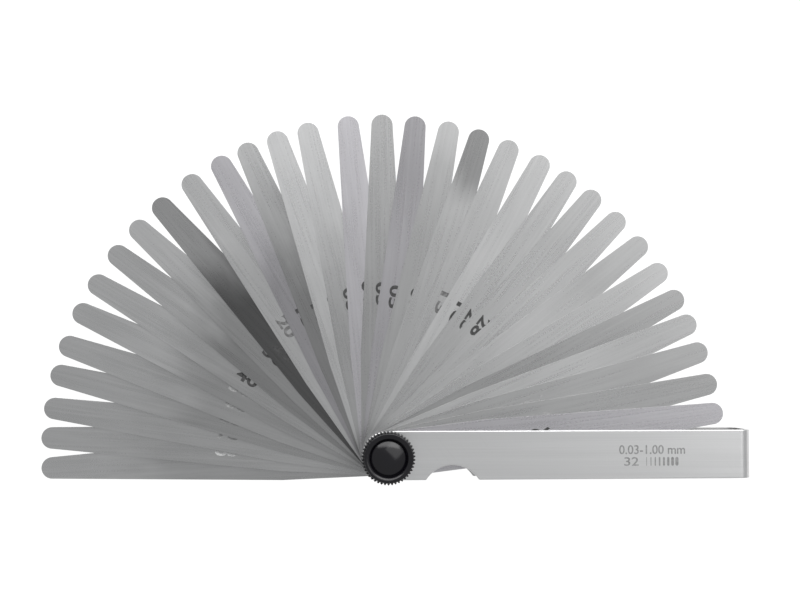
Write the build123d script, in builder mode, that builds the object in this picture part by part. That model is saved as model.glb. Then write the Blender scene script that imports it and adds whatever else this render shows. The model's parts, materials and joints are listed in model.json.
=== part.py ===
"""Feeler gauge: tapered steel blades on one pivot screw, in a folded steel case, clamped by a thumb nut.

The gauge lies flat. The origin is on the pivot axis, in the outer face of the case's rear plate, so the gauge
rests on the plane z = 0. +X runs along the case to its folded end, +Y is the side to which the blades are
fanned out, and +Z points from the rear plate to the thumb nut. All lengths are in millimetres.
"""

from build123d import *
import os

# Case: one steel strip folded into a long U
SHEET = 1.0
CASE_WIDTH = 13.3
CASE_REACH = 100.8
END_RADIUS = 6.45
END_TAPER = 2.5
FOLD_RADIUS = 3.0
CASE_EDGE_RADIUS = 0.25
NOTCH_RADIUS = 8.5
NOTCH_DEPTH = 4.0
NOTCH_FROM_PIVOT = 18.1
NOTCH_CORNER_RADIUS = 0.5

# Blades: nominal thicknesses of the set, and the outline that they share
THICKNESSES = [
    0.03, 0.04, 0.05, 0.06, 0.07, 0.08, 0.09, 0.10, 0.13, 0.15, 0.18, 0.20, 0.23, 0.25, 0.28, 0.30,
    0.33, 0.35, 0.38, 0.40, 0.45, 0.50, 0.55, 0.60, 0.63, 0.65, 0.70, 0.75, 0.80, 0.85, 0.90, 1.00,
]
BLADE_REACH = 93.75
BLADE_WIDTH = 12.5
TAPER_START = 28.0
TIP_RADIUS = 2.95
OIL_GAP = 0.02

# How far each blade is swung out of the case, in degrees, from the rearmost blade to the frontmost
SWING_ANGLES = [
    182.3, 177.1, 172.0, 166.2, 161.0, 154.9, 149.3, 143.2,
    137.5, 132.0, 125.5, 119.5, 114.4, 108.9, 103.4, 96.3,
    90.4, 84.6, 78.7, 73.2, 67.7, 61.6, 56.1, 50.7,
    44.9, 39.1, 33.3, 27.8, 23.0, 17.8, 12.1, 7.0,
]

# Pivot screw, washer and thumb nut
SHANK_RADIUS = 2.5
THREAD_RADIUS = 2.0
RUNNING_CLEARANCE = 0.05
STAKE_RADIUS = 3.5
STAKE_CLEARANCE = 0.03
SHOULDER_BELOW_FACE = 0.4
WASHER_RADIUS = 5.0
WASHER_THICKNESS = 0.5
NECK_RADIUS = 4.8
NECK_HEIGHT = 6.5
NUT_RADIUS = 7.15
NUT_HEIGHT = 11.8
KNURL_HEIGHT = 3.6
KNURL_TEETH = 46
KNURL_DEPTH = 0.65
KNURL_CHAMFER = 0.35
RIM_OUTER_ROUND = 0.2
RIM_INNER_ROUND = 1.15
GROOVE_RADIUS = 4.85
GROOVE_DEPTH = 1.36
THREAD_ENGAGEMENT = 8.5
BORE_DEPTH = 9.0

# The thickest blades lie outside and the thinnest in the middle, where the others guard them
thickest_first = sorted(THICKNESSES, reverse=True)
stack = thickest_first[0::2] + thickest_first[1::2][::-1]

half_width = CASE_WIDTH / 2
blade_bay = sum(THICKNESSES) + (len(THICKNESSES) + 1) * OIL_GAP
case_thickness = blade_bay + 2 * SHEET
washer_z = case_thickness + OIL_GAP
nut_z = washer_z + WASHER_THICKNESS + OIL_GAP

os.makedirs("parts", exist_ok=True)


# Case: rear plate, fold and front plate, round about the pivot, with a thumb notch through both plates
with BuildPart() as case:
    with BuildSketch(Plane.XZ) as strip_side:
        with Locations(((CASE_REACH - half_width) / 2, case_thickness / 2)):
            Rectangle(CASE_REACH + half_width, case_thickness)
        fillet(strip_side.vertices().group_by(Axis.X)[-1], FOLD_RADIUS)
        with Locations(((CASE_REACH - half_width - SHEET) / 2, case_thickness / 2)):
            Rectangle(CASE_REACH + half_width - SHEET, blade_bay, mode=Mode.SUBTRACT)
        inner_corners = strip_side.vertices().filter_by_position(
            Axis.X, CASE_REACH - SHEET - 0.01, CASE_REACH - SHEET + 0.01
        )
        fillet(inner_corners, FOLD_RADIUS - SHEET)
    extrude(amount=half_width, both=True)

    with BuildSketch(Plane.XY) as plate_outline:
        Circle(END_RADIUS)
        with Locations(((CASE_REACH + END_TAPER) / 2, 0)):
            Rectangle(CASE_REACH - END_TAPER, CASE_WIDTH)
        make_hull()
    extrude(amount=case_thickness, mode=Mode.INTERSECT)

    with BuildSketch(Plane.XY) as thumb_notch:
        with Locations((NOTCH_FROM_PIVOT, NOTCH_DEPTH - half_width - NOTCH_RADIUS)):
            Circle(NOTCH_RADIUS)
    extrude(amount=case_thickness, mode=Mode.SUBTRACT)
    notch_corners = (
        case.edges()
        .filter_by(Axis.Z)
        .filter_by_position(Axis.X, NOTCH_FROM_PIVOT - NOTCH_RADIUS, NOTCH_FROM_PIVOT + NOTCH_RADIUS)
    )
    fillet(notch_corners, NOTCH_CORNER_RADIUS)

    rear_face = case.faces().sort_by(Axis.Z)[0]
    front_face = case.faces().sort_by(Axis.Z)[-1]
    rim_edges = rear_face.outer_wire().edges() + front_face.outer_wire().edges()
    bend_lines = rim_edges.filter_by(Axis.Y)
    fillet([edge for edge in rim_edges if edge not in bend_lines], CASE_EDGE_RADIUS)

    with BuildSketch(Plane.XY.offset(case_thickness - SHEET)) as front_hole:
        Circle(SHANK_RADIUS + RUNNING_CLEARANCE)
    extrude(amount=SHEET, mode=Mode.SUBTRACT)
    with Locations(Plane(origin=(0, 0, 0), z_dir=(0, 0, -1))):
        CounterSinkHole(SHANK_RADIUS + STAKE_CLEARANCE, STAKE_RADIUS, depth=SHEET)

case.part.label = "case"
export_step(case.part, "parts/case.step")


# Pivot screw: staked flush into the rear plate, plain through the blades, stepped down to the nut's thread
with BuildPart() as pivot_screw:
    with BuildSketch(Plane.XZ) as screw_half:
        with BuildLine():
            shoulder_z = case_thickness - SHOULDER_BELOW_FACE
            thread_end = nut_z + THREAD_ENGAGEMENT
            end_chamfer = THREAD_RADIUS / 4
            stake_foot = STAKE_RADIUS - STAKE_CLEARANCE
            Polyline(
                (0, 0),
                (stake_foot, 0),
                (SHANK_RADIUS, stake_foot - SHANK_RADIUS),
                (SHANK_RADIUS, shoulder_z),
                (THREAD_RADIUS, shoulder_z),
                (THREAD_RADIUS, thread_end - end_chamfer),
                (THREAD_RADIUS - end_chamfer, thread_end),
                (0, thread_end),
                close=True,
            )
        make_face()
    revolve(axis=Axis.Z)

pivot_screw.part.label = "pivot_screw"
export_step(pivot_screw.part, "parts/pivot_screw.step")


# Blades: parallel by the pivot, then tapered to a round tip, stacked from the rear plate to the front plate
blade_z = SHEET + OIL_GAP
for thickness, swing in zip(stack, SWING_ANGLES):
    along_blade = Vector(1, 0, 0).rotate(Axis.Z, swing)
    with BuildPart() as blade:
        with BuildSketch(Plane(origin=(0, 0, blade_z), x_dir=along_blade, z_dir=(0, 0, 1))):
            with BuildLine():
                tip = CenterArc((BLADE_REACH - TIP_RADIUS, 0), TIP_RADIUS, -90, 180)
                butt = CenterArc((0, 0), BLADE_WIDTH / 2, 90, 180)
                Polyline(butt @ 0, (TAPER_START, BLADE_WIDTH / 2), tip @ 1)
                Polyline(butt @ 1, (TAPER_START, -BLADE_WIDTH / 2), tip @ 0)
            make_face()
            Circle(SHANK_RADIUS + RUNNING_CLEARANCE, mode=Mode.SUBTRACT)
        extrude(amount=thickness)
    name = f"blade_{round(thickness * 100):03d}"
    blade.part.label = name
    export_step(blade.part, f"parts/{name}.step")
    blade_z += thickness + OIL_GAP


# Washer between the front plate and the nut
with BuildPart() as nut_washer:
    with BuildSketch(Plane.XY.offset(washer_z)):
        Circle(WASHER_RADIUS)
        Circle(THREAD_RADIUS + RUNNING_CLEARANCE, mode=Mode.SUBTRACT)
    extrude(amount=WASHER_THICKNESS)

nut_washer.part.label = "nut_washer"
export_step(nut_washer.part, "parts/nut_washer.step")


# Thumb nut: neck, knurled head under a plain rim, then a narrow groove round a domed cap over a blind bore
with BuildPart() as thumb_nut:
    with BuildSketch(Plane.XZ.shift_origin((0, 0, nut_z))) as nut_half:
        with BuildLine():
            root_radius = NUT_RADIUS - KNURL_DEPTH
            knurl_z = NECK_HEIGHT + KNURL_HEIGHT
            groove_z = NUT_HEIGHT - GROOVE_DEPTH
            rim_z = groove_z + RIM_INNER_ROUND
            outer_round_z = rim_z - RIM_OUTER_ROUND
            dome_radius = (GROOVE_RADIUS**2 + GROOVE_DEPTH**2) / (2 * GROOVE_DEPTH)
            wall = Polyline(
                (0, 0),
                (NECK_RADIUS, 0),
                (NECK_RADIUS, NECK_HEIGHT),
                (NUT_RADIUS - KNURL_CHAMFER, NECK_HEIGHT),
                (NUT_RADIUS, NECK_HEIGHT + KNURL_CHAMFER),
                (NUT_RADIUS, knurl_z - KNURL_CHAMFER),
                (NUT_RADIUS - KNURL_CHAMFER, knurl_z),
                (root_radius, knurl_z),
                (root_radius, outer_round_z),
            )
            outer_round = CenterArc((root_radius - RIM_OUTER_ROUND, outer_round_z), RIM_OUTER_ROUND, 0, 90)
            inner_round = CenterArc((GROOVE_RADIUS + RIM_INNER_ROUND, groove_z), RIM_INNER_ROUND, 90, 90)
            Line(outer_round @ 1, inner_round @ 0)
            dome = RadiusArc((GROOVE_RADIUS, groove_z), (0, NUT_HEIGHT), -dome_radius)
            Line(dome @ 1, wall @ 0)
        make_face()
    revolve(axis=Axis.Z)

    with BuildSketch(Plane.XY.offset(nut_z + NECK_HEIGHT)) as knurl_grooves:
        with PolarLocations(0, KNURL_TEETH):
            with BuildLine():
                Polyline(
                    (root_radius, 0),
                    (NUT_RADIUS + KNURL_DEPTH / 2, KNURL_DEPTH),
                    (NUT_RADIUS + KNURL_DEPTH / 2, -KNURL_DEPTH),
                    close=True,
                )
            make_face()
    extrude(amount=KNURL_HEIGHT, mode=Mode.SUBTRACT)

    with BuildSketch(Plane.XY.offset(nut_z)) as nut_bore:
        Circle(THREAD_RADIUS + RUNNING_CLEARANCE)
    extrude(amount=BORE_DEPTH, mode=Mode.SUBTRACT)

thumb_nut.part.label = "thumb_nut"
export_step(thumb_nut.part, "parts/thumb_nut.step")
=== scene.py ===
import json
import math

import bmesh
import bpy
from mathutils import Matrix, Vector


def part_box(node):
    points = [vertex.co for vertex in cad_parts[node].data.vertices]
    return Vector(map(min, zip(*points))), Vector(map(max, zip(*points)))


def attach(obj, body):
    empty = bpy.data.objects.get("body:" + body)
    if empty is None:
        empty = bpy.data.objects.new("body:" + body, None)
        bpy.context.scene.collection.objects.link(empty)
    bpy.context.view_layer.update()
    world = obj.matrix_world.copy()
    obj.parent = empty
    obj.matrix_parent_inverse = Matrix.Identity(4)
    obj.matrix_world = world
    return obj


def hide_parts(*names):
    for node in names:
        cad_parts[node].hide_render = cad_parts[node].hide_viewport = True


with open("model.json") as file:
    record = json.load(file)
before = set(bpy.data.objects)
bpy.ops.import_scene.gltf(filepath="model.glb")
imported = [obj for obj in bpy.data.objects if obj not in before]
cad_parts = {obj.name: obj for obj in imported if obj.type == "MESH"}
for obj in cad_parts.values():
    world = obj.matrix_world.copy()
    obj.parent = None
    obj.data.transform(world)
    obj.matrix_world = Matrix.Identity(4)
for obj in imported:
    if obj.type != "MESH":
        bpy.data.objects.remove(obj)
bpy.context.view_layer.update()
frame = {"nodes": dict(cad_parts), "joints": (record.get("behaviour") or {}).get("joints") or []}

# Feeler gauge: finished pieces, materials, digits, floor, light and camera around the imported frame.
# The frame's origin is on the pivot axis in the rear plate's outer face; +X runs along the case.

MM = 0.001

# Blades, as in the frame (mm)
BLADE_REACH = 93.75
BLADE_WIDTH = 12.5
TAPER_START = 28.0
TIP_RADIUS = 2.95
PIVOT_HOLE_RADIUS = 2.55
EDGE_ROUND = 0.012

# Thumb nut, as in the frame (mm)
NECK_RADIUS = 4.8
NECK_HEIGHT = 6.5
NUT_RADIUS = 7.15
NUT_HEIGHT = 11.8
KNURL_HEIGHT = 3.6
KNURL_TEETH = 46
KNURL_DEPTH = 0.65
KNURL_CHAMFER = 0.35
KNURL_FLANK_SHARE = 0.8
SAMPLES_PER_TOOTH = 10
CREASE_ANGLE = 38.0
RIM_OUTER_ROUND = 0.2
RIM_INNER_ROUND = 1.15
GROOVE_RADIUS = 4.85
GROOVE_DEPTH = 1.36
NUT_BORE_RADIUS = 2.05
NUT_BORE_DEPTH = 9.0

# Blade finish: tone near the pivot and at the tip, then the run (mm) over which it drifts. The tones copy
# how bright each blade looks, so besides the steel's own tone they hold painted shade: most blades darken
# towards the pivot and the nut, some towards the tip.
# STEEL_SHARE turns a tone into a linear grey.
STEEL_AND_SHADE_TONES = {
    "090": (0.61, 0.60), "080": (0.53, 0.47), "070": (0.55, 0.48), "063": (0.65, 0.53),
    "055": (0.47, 0.45), "045": (0.62, 0.56), "038": (0.64, 0.50), "033": (0.62, 0.54),
    "028": (0.59, 0.51), "023": (0.58, 0.54), "018": (0.68, 0.57), "013": (0.59, 0.56),
    "009": (0.58, 0.33), "007": (0.53, 0.60), "005": (0.53, 0.44), "003": (0.48, 0.59),
    "004": (0.64, 0.74), "006": (0.52, 0.84), "008": (0.66, 0.87), "010": (0.32, 0.76),
    "015": (0.42, 0.71), "020": (0.60, 0.72), "025": (0.135, 0.47), "030": (0.41, 0.70),
    "035": (0.34, 0.63), "040": (0.49, 0.66), "050": (0.44, 0.66), "060": (0.50, 0.64),
    "065": (0.46, 0.61), "075": (0.56, 0.62), "085": (0.56, 0.62), "100": (0.51, 0.66),
}
USUAL_DRIFT = (56.0, 80.0)
DRIFT_OF = {
    "003": (30.0, 90.0), "004": (30.0, 90.0), "006": (30.0, 90.0), "008": (30.0, 90.0), "010": (45.0, 98.0),
    "015": (50.0, 75.0), "009": (70.0, 84.0), "007": (82.0, 92.0), "035": (50.0, 72.0), "040": (50.0, 72.0),
    "050": (50.0, 72.0), "060": (50.0, 72.0), "065": (50.0, 72.0),
}
LILAC = ("090", "004", "005", "015")
STEEL_SHARE = 0.745
SEED_STEP = 0.0137
STREAK_SHARE = 0.50
SPECKLE_SHARE = 0.20
CLOUD_SHARE = 0.30
WANDER = 10.0
BLADE_ROUGHNESS = (0.22, 0.34)
LILAC_TINT = 0.02

# Finish of the other pieces: linear greys and roughness from their darker to their lighter patches
CASE_GREY = (0.54, 0.59)
CASE_SCUFF_GREY = 0.46
CASE_ROUGHNESS = (0.25, 0.33)
SCREW_GREY = (0.28, 0.35)
SCREW_ROUGHNESS = (0.25, 0.45)
RING_WAVENUMBER = 40000.0
NUT_COLOURS = ((0.0015, 0.0013, 0.0022, 1.0), (0.003, 0.0026, 0.0045, 1.0))
NUT_ROUGHNESS = (0.12, 0.36)
NUT_SPECULAR = 0.36

# Etched thickness numbers, in hundredths of a millimetre, and the marks on the case's front plate (mm)
MARK_DEPTH = 0.02
MARK_PROUD = 0.01
DIGIT_HEIGHT = 3.2
DIGIT_PITCH = 3.55
DIGIT_GAP = 0.7
USUAL_PLACE = (43.5, -0.9)
PLACE_OF = {
    "090": (42.8, 0.5), "080": (43.9, 0.6), "070": (43.2, 0.9), "033": (44.0, -0.2), "028": (43.7, 1.65),
    "023": (43.3, 1.0), "018": (43.5, 0.5), "013": (44.5, 0.8), "007": (43.3, 0.0), "005": (43.3, 1.2),
    "003": (44.1, 0.5), "004": (44.8, -0.4), "006": (43.6, -0.7), "008": (43.4, -0.4), "010": (42.5, 0.15),
    "015": (43.4, 0.4), "020": (44.1, 1.6), "025": (39.5, 1.6), "030": (40.5, 0.7), "040": (42.9, 1.2),
    "050": (43.2, 0.4), "060": (42.6, 0.2), "065": (43.0, 0.5), "075": (43.3, 0.5), "085": (43.2, 1.2),
}
DIGIT_WEIGHT = 0.03
WORD_WEIGHT = 0.012
# Numbers stamped into the thick blades: drawn as flat marks whose light grey is painted highlight, standing
# for the glint on the stamped grooves' edges.
GLINTING_STAMPS = ("100", "075", "065", "060", "050", "033", "038", "045", "055", "063", "070", "080")
BRIGHT_GLINTING_STAMPS = ("085",)
FADED = ("020", "013")
RANGE_TEXT = "0.03-1.00 mm"
RANGE_BOX = (72.95, 1.33, 18.3, 2.5)
COUNT_BOX = (67.2, -1.9, 4.0, 2.4)
BAR_COUNT = 8
BAR_BOX = (75.6, -1.9, 9.6, 2.4)

# Stage: floor (m), sky, and soft lights as name: (place, aim, size (m), radiance)
FLOOR_HALF = 3.0
FLOOR_DROP = 0.00005
FLOOR_GREY = 0.10
FLOOR_GLOW = 0.98
SKY_COLOUR = (0.98, 0.99, 1.0, 1.0)
SKY_STRENGTH = 0.63
SOFTBOXES = {
    "overhead": ((0.7, 0.75, 1.5), (0.1, 0.15, 0.0), (1.6, 1.3), 1.5),
    "back": ((0.1, 1.35, 1.0), (0.0, 0.03, 0.0), (2.4, 1.1), 4.0),
    "low_key": ((-1.05, 1.05, 0.13), (0.0, 0.0, 0.02), (2.2, 0.16), 3.0),
}

# Camera: almost straight above the gauge, turned from the vertical by an axis times an angle
CAMERA_PLACE = Vector((-26.95, 26.61, 431.18)) * MM
CAMERA_TURN = Vector((0.0371, -0.0737, 0.0009))
CAMERA_LENS = 69.33
SENSOR_WIDTH = 36.0

blade_names = sorted(
    (name for name in frame["nodes"] if name.startswith("blade_")), key=lambda name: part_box(name)[0].z
)
swing_of = {
    joint["child"]: -joint["range_deg"][0] for joint in frame["joints"] if joint["child"] in blade_names
}


# ---------------------------------------------------------------- mesh helpers

def new_piece(name, bm, material, body, smooth=True):
    """A mesh object from a bmesh whose coordinates are millimetres in the frame."""
    bmesh.ops.scale(bm, vec=(MM, MM, MM), verts=bm.verts)
    bmesh.ops.recalc_face_normals(bm, faces=bm.faces)
    for face in bm.faces:
        face.smooth = smooth
    mesh = bpy.data.meshes.new(name)
    bm.to_mesh(mesh)
    bm.free()
    piece = bpy.data.objects.new(name, mesh)
    bpy.context.scene.collection.objects.link(piece)
    piece.data.materials.append(material)
    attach(piece, body)
    return piece


def arc(centre, radius, start, end, steps):
    """Points on an arc, its angles in degrees."""
    turn = [math.radians(start + (end - start) * i / steps) for i in range(steps + 1)]
    return [(centre[0] + radius * math.cos(a), centre[1] + radius * math.sin(a)) for a in turn]


def bridge(bm, ring_a, ring_b):
    """Quads between two closed rings of the same length."""
    count = len(ring_a)
    for i in range(count):
        bm.faces.new((ring_a[i], ring_a[(i + 1) % count], ring_b[(i + 1) % count], ring_b[i]))


def ring_edges(bm, ring):
    return [bm.edges.get((ring[i], ring[(i + 1) % len(ring)])) for i in range(len(ring))]


# ---------------------------------------------------------------- node helpers

class Shader:
    """A node material with short calls for the nodes that the materials here need."""

    def __init__(self, name):
        self.material = bpy.data.materials.new(name)
        self.material.use_nodes = True
        self.tree = self.material.node_tree
        self.surface = self.tree.nodes["Principled BSDF"]

    def node(self, kind, **settings):
        made = self.tree.nodes.new(kind)
        for key, value in settings.items():
            setattr(made, key, value)
        return made

    def plug(self, socket, value):
        if isinstance(value, bpy.types.NodeSocket):
            self.tree.links.new(value, socket)
        else:
            socket.default_value = value

    def math(self, operation, first, second=0.0, clamp=False):
        made = self.node("ShaderNodeMath", operation=operation, use_clamp=clamp)
        self.plug(made.inputs[0], first)
        self.plug(made.inputs[1], second)
        return made.outputs[0]

    def spread(self, value, low, high):
        """A 0 to 1 value mapped to low to high."""
        return self.math("ADD", self.math("MULTIPLY", value, high - low), low)

    def place(self, turn=0.0, scale=(1.0, 1.0, 1.0), shift=(0.0, 0.0, 0.0)):
        """Frame coordinates, turned about the pivot, then stretched."""
        coordinates = self.node("ShaderNodeTexCoord")
        turned = self.node("ShaderNodeMapping")
        turned.inputs["Rotation"].default_value = (0.0, 0.0, turn)
        turned.inputs["Location"].default_value = shift
        self.plug(turned.inputs["Vector"], coordinates.outputs["Object"])
        stretched = self.node("ShaderNodeMapping")
        stretched.inputs["Scale"].default_value = scale
        self.plug(stretched.inputs["Vector"], turned.outputs["Vector"])
        return stretched.outputs["Vector"]

    def noise(self, where, detail=3.0, roughness=0.5, distortion=0.0):
        made = self.node("ShaderNodeTexNoise")
        made.inputs["Scale"].default_value = 1.0
        made.inputs["Detail"].default_value = detail
        made.inputs["Roughness"].default_value = roughness
        made.inputs["Distortion"].default_value = distortion
        self.plug(made.inputs["Vector"], where)
        return made.outputs["Fac"]

    def blend(self, amount, first, second):
        made = self.node("ShaderNodeMix", data_type="RGBA")
        self.plug(made.inputs["Factor"], amount)
        self.plug(made.inputs["A"], first)
        self.plug(made.inputs["B"], second)
        return made.outputs["Result"]

    def steps(self, value, low, high):
        """0 below low, 1 above high, smooth between."""
        made = self.node("ShaderNodeMapRange", interpolation_type="SMOOTHSTEP")
        self.plug(made.inputs["Value"], value)
        made.inputs["From Min"].default_value = low
        made.inputs["From Max"].default_value = high
        return made.outputs["Result"]

    def bump(self, height, depth_mm, strength=1.0, after=None):
        made = self.node("ShaderNodeBump")
        made.inputs["Strength"].default_value = strength
        made.inputs["Distance"].default_value = depth_mm * MM
        self.plug(made.inputs["Height"], height)
        if after is not None:
            self.plug(made.inputs["Normal"], after)
        return made.outputs["Normal"]

    def set(self, **values):
        for key, value in values.items():
            self.plug(self.surface.inputs[key.replace("_", " ")], value)


def grey(level, warmth=0.0, lilac=0.0):
    """A linear grey with a little warmth or lilac in it."""
    return (level * (1.0 + warmth), level * (1.0 - lilac), level * (1.0 - warmth + lilac), 1.0)


# ---------------------------------------------------------------- materials

def blade_steel(name, swing, tones_and_shade, drift, seed, lilac=0.0):
    """Ground spring steel: satin, with lengthwise grain, faint mottling and a tone that drifts from pivot
    to tip; the drift is partly the steel's own tone and partly painted shade.
    """
    shader = Shader(name)
    turn = -math.radians(swing)
    streaks = shader.noise(shader.place(turn, (34.0, 1500.0, 300.0), (0.0, seed, 0.0)), 5.0, 0.62)
    speckle = shader.noise(shader.place(turn, (2200.0, 4200.0, 900.0), (seed, 0.0, 0.0)), 3.0, 0.65)
    clouds = shader.noise(shader.place(turn, (45.0, 130.0, 20.0), (seed, seed, 0.0)), 3.0, 0.5)
    parts = ((streaks, STREAK_SHARE), (speckle, SPECKLE_SHARE), (clouds, CLOUD_SHARE))
    grain = 0.0
    for part, share in parts:
        grain = shader.math("ADD", shader.math("MULTIPLY", part, share), grain)
    along = shader.node("ShaderNodeSeparateXYZ")
    shader.plug(along.inputs[0], shader.place(turn))
    wander = shader.spread(clouds, -WANDER * MM, WANDER * MM)
    # The pivot-to-tip blend below paints shade as well as steel tone: its darker end is painted shade.
    reach = shader.steps(shader.math("ADD", along.outputs["X"], wander), drift[0] * MM, drift[1] * MM)
    near, far = (grey(tone * STEEL_SHARE, lilac=lilac) for tone in tones_and_shade)
    body = shader.blend(reach, near, far)
    worn = shader.blend(shader.steps(grain, 0.30, 0.70), grey(0.84), grey(1.0))
    colour = shader.node("ShaderNodeMix", data_type="RGBA", blend_type="MULTIPLY")
    colour.inputs["Factor"].default_value = 1.0
    shader.plug(colour.inputs["A"], body)
    shader.plug(colour.inputs["B"], worn)
    shader.set(
        Base_Color=colour.outputs["Result"],
        Metallic=1.0,
        Roughness=shader.spread(grain, *BLADE_ROUGHNESS),
        Normal=shader.bump(shader.math("ADD", streaks, speckle), 0.0012, 0.30),
    )
    return shader.material


def case_steel():
    """Nickel-plated sheet, brushed lengthwise, with faint scuffs across."""
    shader = Shader("case_steel")
    streaks = shader.noise(shader.place(0.0, (26.0, 3400.0, 3400.0)), 6.0, 0.62)
    bands = shader.noise(shader.place(0.0, (9.0, 420.0, 420.0), (0.3, 0.1, 0.0)), 3.0, 0.5)
    scuffs = shader.noise(shader.place(0.9, (60.0, 2400.0, 600.0), (0.1, 0.4, 0.0)), 4.0, 0.6)
    tone = shader.math("ADD", shader.math("MULTIPLY", streaks, 0.55), shader.math("MULTIPLY", bands, 0.45))
    colour = shader.blend(shader.steps(tone, 0.3, 0.7), grey(CASE_GREY[0]), grey(CASE_GREY[1]))
    scuffed = shader.math("MULTIPLY", shader.steps(scuffs, 0.62, 0.75), 0.25)
    colour = shader.blend(scuffed, colour, grey(CASE_SCUFF_GREY))
    shader.set(
        Base_Color=colour,
        Metallic=1.0,
        Roughness=shader.spread(tone, *CASE_ROUGHNESS),
        Normal=shader.bump(streaks, 0.0016, 0.3),
    )
    return shader.material


def screw_steel():
    """Turned steel: fine rings round the pivot axis, a little darker than the case."""
    shader = Shader("screw_steel")
    across = shader.node("ShaderNodeVectorMath", operation="LENGTH")
    flat = shader.place(0.0, (1.0, 1.0, 0.0))
    shader.plug(across.inputs[0], flat)
    rings = shader.math("SINE", shader.math("MULTIPLY", across.outputs["Value"], RING_WAVENUMBER))
    mottle = shader.noise(shader.place(0.0, (900.0, 900.0, 900.0)), 4.0, 0.6)
    colour = shader.blend(shader.steps(mottle, 0.35, 0.65), grey(SCREW_GREY[0]), grey(SCREW_GREY[1]))
    shader.set(
        Base_Color=colour,
        Metallic=1.0,
        Roughness=shader.spread(mottle, *SCREW_ROUGHNESS),
        Normal=shader.bump(rings, 0.002, 0.4),
    )
    return shader.material


def nut_black():
    """Moulded black plastic with a polished face: soft orange-peel waves and a few hairline marks."""
    shader = Shader("nut_black")
    waves = shader.noise(shader.place(0.0, (700.0, 700.0, 700.0)), 2.0, 0.5)
    hairlines = shader.noise(shader.place(0.6, (150.0, 5200.0, 300.0)), 4.0, 0.7)
    cloud = shader.noise(shader.place(0.0, (260.0, 260.0, 260.0), (0.2, 0.1, 0.0)), 3.0, 0.5)
    colour = shader.blend(cloud, *NUT_COLOURS)
    shader.set(
        Base_Color=colour,
        Roughness=shader.spread(shader.math("MULTIPLY", hairlines, cloud), *NUT_ROUGHNESS),
        Specular_IOR_Level=NUT_SPECULAR,
        Normal=shader.bump(waves, 0.010, 0.35),
    )
    return shader.material


def ink(name, low, high, roughness):
    """Etched and blackened mark, patchy at a small scale. In its light greys it stands for stamped numbers,
    and that light grey is painted highlight.
    """
    shader = Shader(name)
    patches = shader.noise(shader.place(0.0, (1500.0, 1500.0, 1500.0)), 4.0, 0.65)
    colour = shader.blend(shader.steps(patches, 0.35, 0.68), grey(low), grey(high))
    shader.set(
        Base_Color=colour,
        Metallic=0.4,
        Roughness=shader.spread(patches, roughness, roughness + 0.2),
        Normal=shader.bump(patches, 0.004, 0.4),
    )
    return shader.material


# ---------------------------------------------------------------- blades

def blade_outline():
    """The blade's outline in its own plane, pivot at (0, 0), tip along +X, anticlockwise."""
    half = BLADE_WIDTH / 2
    tip = arc((BLADE_REACH - TIP_RADIUS, 0.0), TIP_RADIUS, -90.0, 90.0, 32)
    butt = arc((0.0, 0.0), half, 90.0, 270.0, 40)
    return tip + [(TAPER_START, half)] + butt + [(TAPER_START, -half)]


def outward_normals(outline):
    count = len(outline)
    normals = []
    for i in range(count):
        before = Vector(outline[i - 1])
        after = Vector(outline[(i + 1) % count])
        run = (after - before).normalized()
        normals.append(Vector((run.y, -run.x)))
    return normals


def edge_profile(thickness, rounding, steps=4):
    """(inset, height) pairs up a blade's flank, from the lower face to the upper."""
    low = [
        (rounding * (1 - math.sin(a)), rounding * (1 - math.cos(a)))
        for a in (math.pi / 2 * i / steps for i in range(steps + 1))
    ]
    return low + [(inset, thickness - height) for inset, height in reversed(low)]


def make_blade(node, material):
    low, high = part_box(node)
    base = low.z / MM
    thickness = (high.z - low.z) / MM
    rounding = min(EDGE_ROUND, 0.45 * thickness)
    turn = Matrix.Rotation(math.radians(swing_of[node]), 4, "Z")
    outline = blade_outline()
    normals = outward_normals(outline)
    hole = arc((0.0, 0.0), PIVOT_HOLE_RADIUS, 0.0, 360.0, 48)[:-1]
    bm = bmesh.new()
    rings = []
    for inset, height in edge_profile(thickness, rounding):
        ring = []
        for point, normal in zip(outline, normals):
            flat = Vector(point) - normal * inset
            ring.append(bm.verts.new(turn @ Vector((flat.x, flat.y, base + height))))
        rings.append(ring)
    for ring_a, ring_b in zip(rings, rings[1:]):
        bridge(bm, ring_a, ring_b)
    bores = [[bm.verts.new((x, y, base + height)) for x, y in hole] for height in (0.0, thickness)]
    bridge(bm, bores[0], bores[1])
    for ring, bore in ((rings[0], bores[0]), (rings[-1], bores[1])):
        borders = ring_edges(bm, ring) + ring_edges(bm, bore)
        bmesh.ops.triangle_fill(bm, use_beauty=True, use_dissolve=False, edges=borders)
        for edge in borders:
            edge.smooth = False
    piece = new_piece(node.replace("blade", "leaf"), bm, material, node)
    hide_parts(node)
    return piece


for index, node in enumerate(reversed(blade_names)):
    code = node[-3:]
    drift = DRIFT_OF.get(code, USUAL_DRIFT)
    lilac = LILAC_TINT if code in LILAC else 0.0
    seed = SEED_STEP * (index + 1)
    finish = blade_steel(f"steel_{code}", swing_of[node], STEEL_AND_SHADE_TONES[code], drift, seed, lilac)
    make_blade(node, finish)


# ---------------------------------------------------------------- marks

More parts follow.
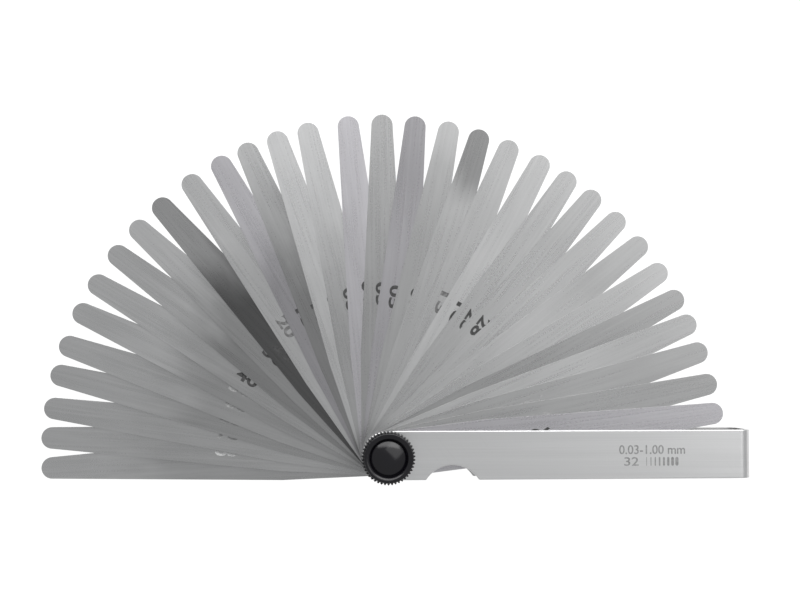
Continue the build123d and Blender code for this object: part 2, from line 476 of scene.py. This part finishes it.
def lettering(name, text, weight, box, turn, surface, material, body):
    """Etched characters: text stretched to box = (centre x, centre y, width, height) in mm, turned about z.

    The characters are thin plates let into the surface, so that only a little of them stands out."""
    curve = bpy.data.curves.new(name, "FONT")
    curve.body = text
    curve.resolution_u = 5
    curve.extrude = 0.5
    curve.offset = weight
    holder = bpy.data.objects.new(name, curve)
    bpy.context.scene.collection.objects.link(holder)
    graph = bpy.context.evaluated_depsgraph_get()
    shape = bpy.data.meshes.new_from_object(holder.evaluated_get(graph))
    bpy.data.objects.remove(holder)
    bm = bmesh.new()
    bm.from_mesh(shape)
    bpy.data.meshes.remove(shape)
    bmesh.ops.remove_doubles(bm, verts=bm.verts, dist=1e-5)
    low = Vector([min(v.co[i] for v in bm.verts) for i in range(3)])
    high = Vector([max(v.co[i] for v in bm.verts) for i in range(3)])
    x, y, width, height = box
    size = high - low
    fit = Matrix.Diagonal((width / size.x, height / size.y, MARK_DEPTH / size.z, 1.0))
    centred = Matrix.Translation(-(low + high) / 2)
    middle_z = surface + MARK_PROUD - MARK_DEPTH / 2
    placed = Matrix.Translation((x, y, middle_z)) @ Matrix.Rotation(turn, 4, "Z")
    bm.transform(placed @ fit @ centred)
    return new_piece(name, bm, material, body, smooth=False)


def bars(name, count, box, surface, material, body):
    """A row of etched bars that grow from thin to thick, as the blades do."""
    x, y, width, height = box
    bm = bmesh.new()
    pitch = width / count
    for i in range(count):
        thick = pitch * (0.12 + 0.62 * i / (count - 1))
        centre = x - width / 2 + pitch * (i + 0.5)
        round_end = thick / 2
        outline = arc((centre, y + height / 2 - round_end), round_end, 0.0, 180.0, 8)
        outline += arc((centre, y - height / 2 + round_end), round_end, 180.0, 360.0, 8)
        rings = []
        for z in (surface + MARK_PROUD - MARK_DEPTH, surface + MARK_PROUD):
            rings.append([bm.verts.new((px, py, z)) for px, py in outline])
        bridge(bm, rings[0], rings[1])
        for ring in rings:
            bm.faces.new(ring)
    return new_piece(name, bm, material, body, smooth=False)


dark_mark = ink("mark_dark", 0.027, 0.06, 0.5)
faded_mark = ink("mark_faded", 0.08, 0.19, 0.5)
# Light greys for stamped numbers: painted highlight, not an ink colour.
stamp_glint_mark = ink("mark_stamp_glint", 0.24, 0.33, 0.55)
bright_stamp_glint_mark = ink("mark_bright_stamp_glint", 0.42, 0.54, 0.55)
case_mark = ink("mark_case", 0.17, 0.28, 0.45)

mark_of = dict.fromkeys(GLINTING_STAMPS, stamp_glint_mark)
mark_of.update(dict.fromkeys(BRIGHT_GLINTING_STAMPS, bright_stamp_glint_mark))
mark_of.update(dict.fromkeys(FADED, faded_mark))

for node in blade_names:
    code = node[-3:]
    digits = code if code == "100" else code[1:]
    swing = math.radians(swing_of[node])
    along = Vector((math.cos(swing), math.sin(swing)))
    across = Vector((-along.y, along.x))
    reach, aside = PLACE_OF.get(code, USUAL_PLACE)
    middle = along * reach + across * aside
    box = (middle.x, middle.y, DIGIT_PITCH * len(digits) - DIGIT_GAP, DIGIT_HEIGHT)
    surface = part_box(node)[1].z / MM
    mark = mark_of.get(code, dark_mark)
    turn = swing + math.pi
    piece = lettering(f"digits_{code}", digits, DIGIT_WEIGHT, box, turn, surface, mark, node)

front_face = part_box("case")[1].z / MM
piece = lettering("range_mark", RANGE_TEXT, WORD_WEIGHT, RANGE_BOX, 0.0, front_face, case_mark, "case")
count_text = str(len(blade_names))
piece = lettering("count_mark", count_text, WORD_WEIGHT, COUNT_BOX, 0.0, front_face, case_mark, "case")
piece = bars("bar_mark", BAR_COUNT, BAR_BOX, front_face, case_mark, "case")


# ---------------------------------------------------------------- thumb nut

def knurl_radius(turn, foot):
    """Radius of the toothed ring at an angle, with the tips cut off at the radius foot."""
    phase = (turn * KNURL_TEETH / (2 * math.pi)) % 1.0
    rise = min(1.0, min(phase, 1.0 - phase) * 2 / KNURL_FLANK_SHARE)
    root = NUT_RADIUS - KNURL_DEPTH
    return min(foot, root + KNURL_DEPTH * rise)


def nut_profile():
    """(radius, height, toothed) up the nut's outside, then over its rim and groove to the dome's top."""
    root = NUT_RADIUS - KNURL_DEPTH
    groove_z = NUT_HEIGHT - GROOVE_DEPTH
    outer_round_z = groove_z + RIM_INNER_ROUND - RIM_OUTER_ROUND
    dome = (GROOVE_RADIUS**2 + GROOVE_DEPTH**2) / (2 * GROOVE_DEPTH)
    knurl_z = NECK_HEIGHT + KNURL_HEIGHT
    toothed = [
        (NUT_RADIUS - KNURL_CHAMFER, NECK_HEIGHT),
        (NUT_RADIUS - KNURL_CHAMFER / 4, NECK_HEIGHT + KNURL_CHAMFER * 0.4),
        (NUT_RADIUS, NECK_HEIGHT + KNURL_CHAMFER),
        (NUT_RADIUS, knurl_z - KNURL_CHAMFER),
        (NUT_RADIUS - KNURL_CHAMFER / 4, knurl_z - KNURL_CHAMFER * 0.4),
        (NUT_RADIUS - KNURL_CHAMFER, knurl_z),
    ]
    plain = [(root, knurl_z)]
    plain += arc((root - RIM_OUTER_ROUND, outer_round_z), RIM_OUTER_ROUND, 0.0, 90.0, 6)
    plain += arc((GROOVE_RADIUS + RIM_INNER_ROUND, groove_z), RIM_INNER_ROUND, 90.0, 180.0, 12)
    edge_angle = math.degrees(math.asin(GROOVE_RADIUS / dome))
    cap = arc((0.0, NUT_HEIGHT - dome), dome, 90.0 - edge_angle, 89.0, 26)
    return [(r, z, True) for r, z in toothed] + [(r, z, False) for r, z in plain + cap]


def make_nut(material):
    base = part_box("thumb_nut")[0].z / MM
    samples = KNURL_TEETH * SAMPLES_PER_TOOTH
    turns = [2 * math.pi * i / samples for i in range(samples)]
    bm = bmesh.new()
    rings = []
    bore = [(NUT_BORE_RADIUS, NUT_BORE_DEPTH, False), (NUT_BORE_RADIUS, 0.0, False)]
    neck = [(NECK_RADIUS, 0.0, False), (NECK_RADIUS, NECK_HEIGHT, False)]
    for radius, height, toothed in bore + neck + nut_profile():
        ring = []
        for a in turns:
            r = knurl_radius(a, radius) if toothed else radius
            ring.append(bm.verts.new((r * math.cos(a), r * math.sin(a), base + height)))
        rings.append(ring)
    for ring_a, ring_b in zip(rings, rings[1:]):
        bridge(bm, ring_a, ring_b)
    for ring, height in ((rings[0], NUT_BORE_DEPTH), (rings[-1], NUT_HEIGHT)):
        centre = bm.verts.new((0.0, 0.0, base + height))
        for i in range(samples):
            bm.faces.new((ring[i], ring[(i + 1) % samples], centre))
    bmesh.ops.remove_doubles(bm, verts=bm.verts, dist=1e-5)
    bmesh.ops.recalc_face_normals(bm, faces=bm.faces)
    for edge in bm.edges:
        if len(edge.link_faces) == 2 and edge.calc_face_angle() > math.radians(CREASE_ANGLE):
            edge.smooth = False
    piece = new_piece("knurled_nut", bm, material, "thumb_nut")
    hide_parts("thumb_nut")
    return piece


make_nut(nut_black())


# ---------------------------------------------------------------- case, screw and washer

def repaint(node, material):
    obj = frame["nodes"][node]
    obj.data.materials.clear()
    obj.data.materials.append(material)


repaint("case", case_steel())
turned_steel = screw_steel()
repaint("pivot_screw", turned_steel)
repaint("nut_washer", turned_steel)


# ---------------------------------------------------------------- floor, light and camera

def floor():
    mesh = bpy.data.meshes.new("floor")
    half = FLOOR_HALF
    corners = [(-half, -half, 0), (half, -half, 0), (half, half, 0), (-half, half, 0)]
    mesh.from_pydata(corners, [], [(0, 1, 2, 3)])
    obj = bpy.data.objects.new("floor", mesh)
    obj.location = (0.0, 0.0, -FLOOR_DROP)
    bpy.context.scene.collection.objects.link(obj)
    shader = Shader("floor_white")
    shader.set(
        Base_Color=grey(FLOOR_GREY),
        Roughness=0.9,
        Emission_Color=(1.0, 1.0, 1.0, 1.0),
        Emission_Strength=FLOOR_GLOW,
    )
    obj.data.materials.append(shader.material)


def softbox(name, place, aim, size, radiance):
    """A rectangular soft light at place, facing aim. Lengths in metres."""
    data = bpy.data.lights.new(name, "AREA")
    data.shape = "RECTANGLE"
    data.size, data.size_y = size
    data.energy = radiance * size[0] * size[1] * math.pi
    obj = bpy.data.objects.new(name, data)
    obj.location = place
    obj.rotation_euler = (Vector(aim) - Vector(place)).to_track_quat("-Z", "Y").to_euler()
    bpy.context.scene.collection.objects.link(obj)


def studio():
    world = bpy.data.worlds.new("studio")
    world.use_nodes = True
    background = world.node_tree.nodes["Background"]
    background.inputs["Color"].default_value = SKY_COLOUR
    background.inputs["Strength"].default_value = SKY_STRENGTH
    bpy.context.scene.world = world
    for name, (place, aim, size, radiance) in SOFTBOXES.items():
        softbox(name, place, aim, size, radiance)
    view = bpy.context.scene.view_settings
    view.view_transform = "Standard"
    view.look = "None"


def camera():
    """Looks almost straight down, as CAMERA_TURN says."""
    data = bpy.data.cameras.new("camera")
    data.sensor_fit = "HORIZONTAL"
    data.sensor_width = SENSOR_WIDTH
    data.lens = CAMERA_LENS
    data.clip_start = 0.01
    obj = bpy.data.objects.new("camera", data)
    turn = Matrix.Rotation(CAMERA_TURN.length, 4, CAMERA_TURN.normalized())
    obj.matrix_world = Matrix.Translation(CAMERA_PLACE) @ turn
    bpy.context.scene.collection.objects.link(obj)
    bpy.context.scene.camera = obj


floor()
studio()
camera()
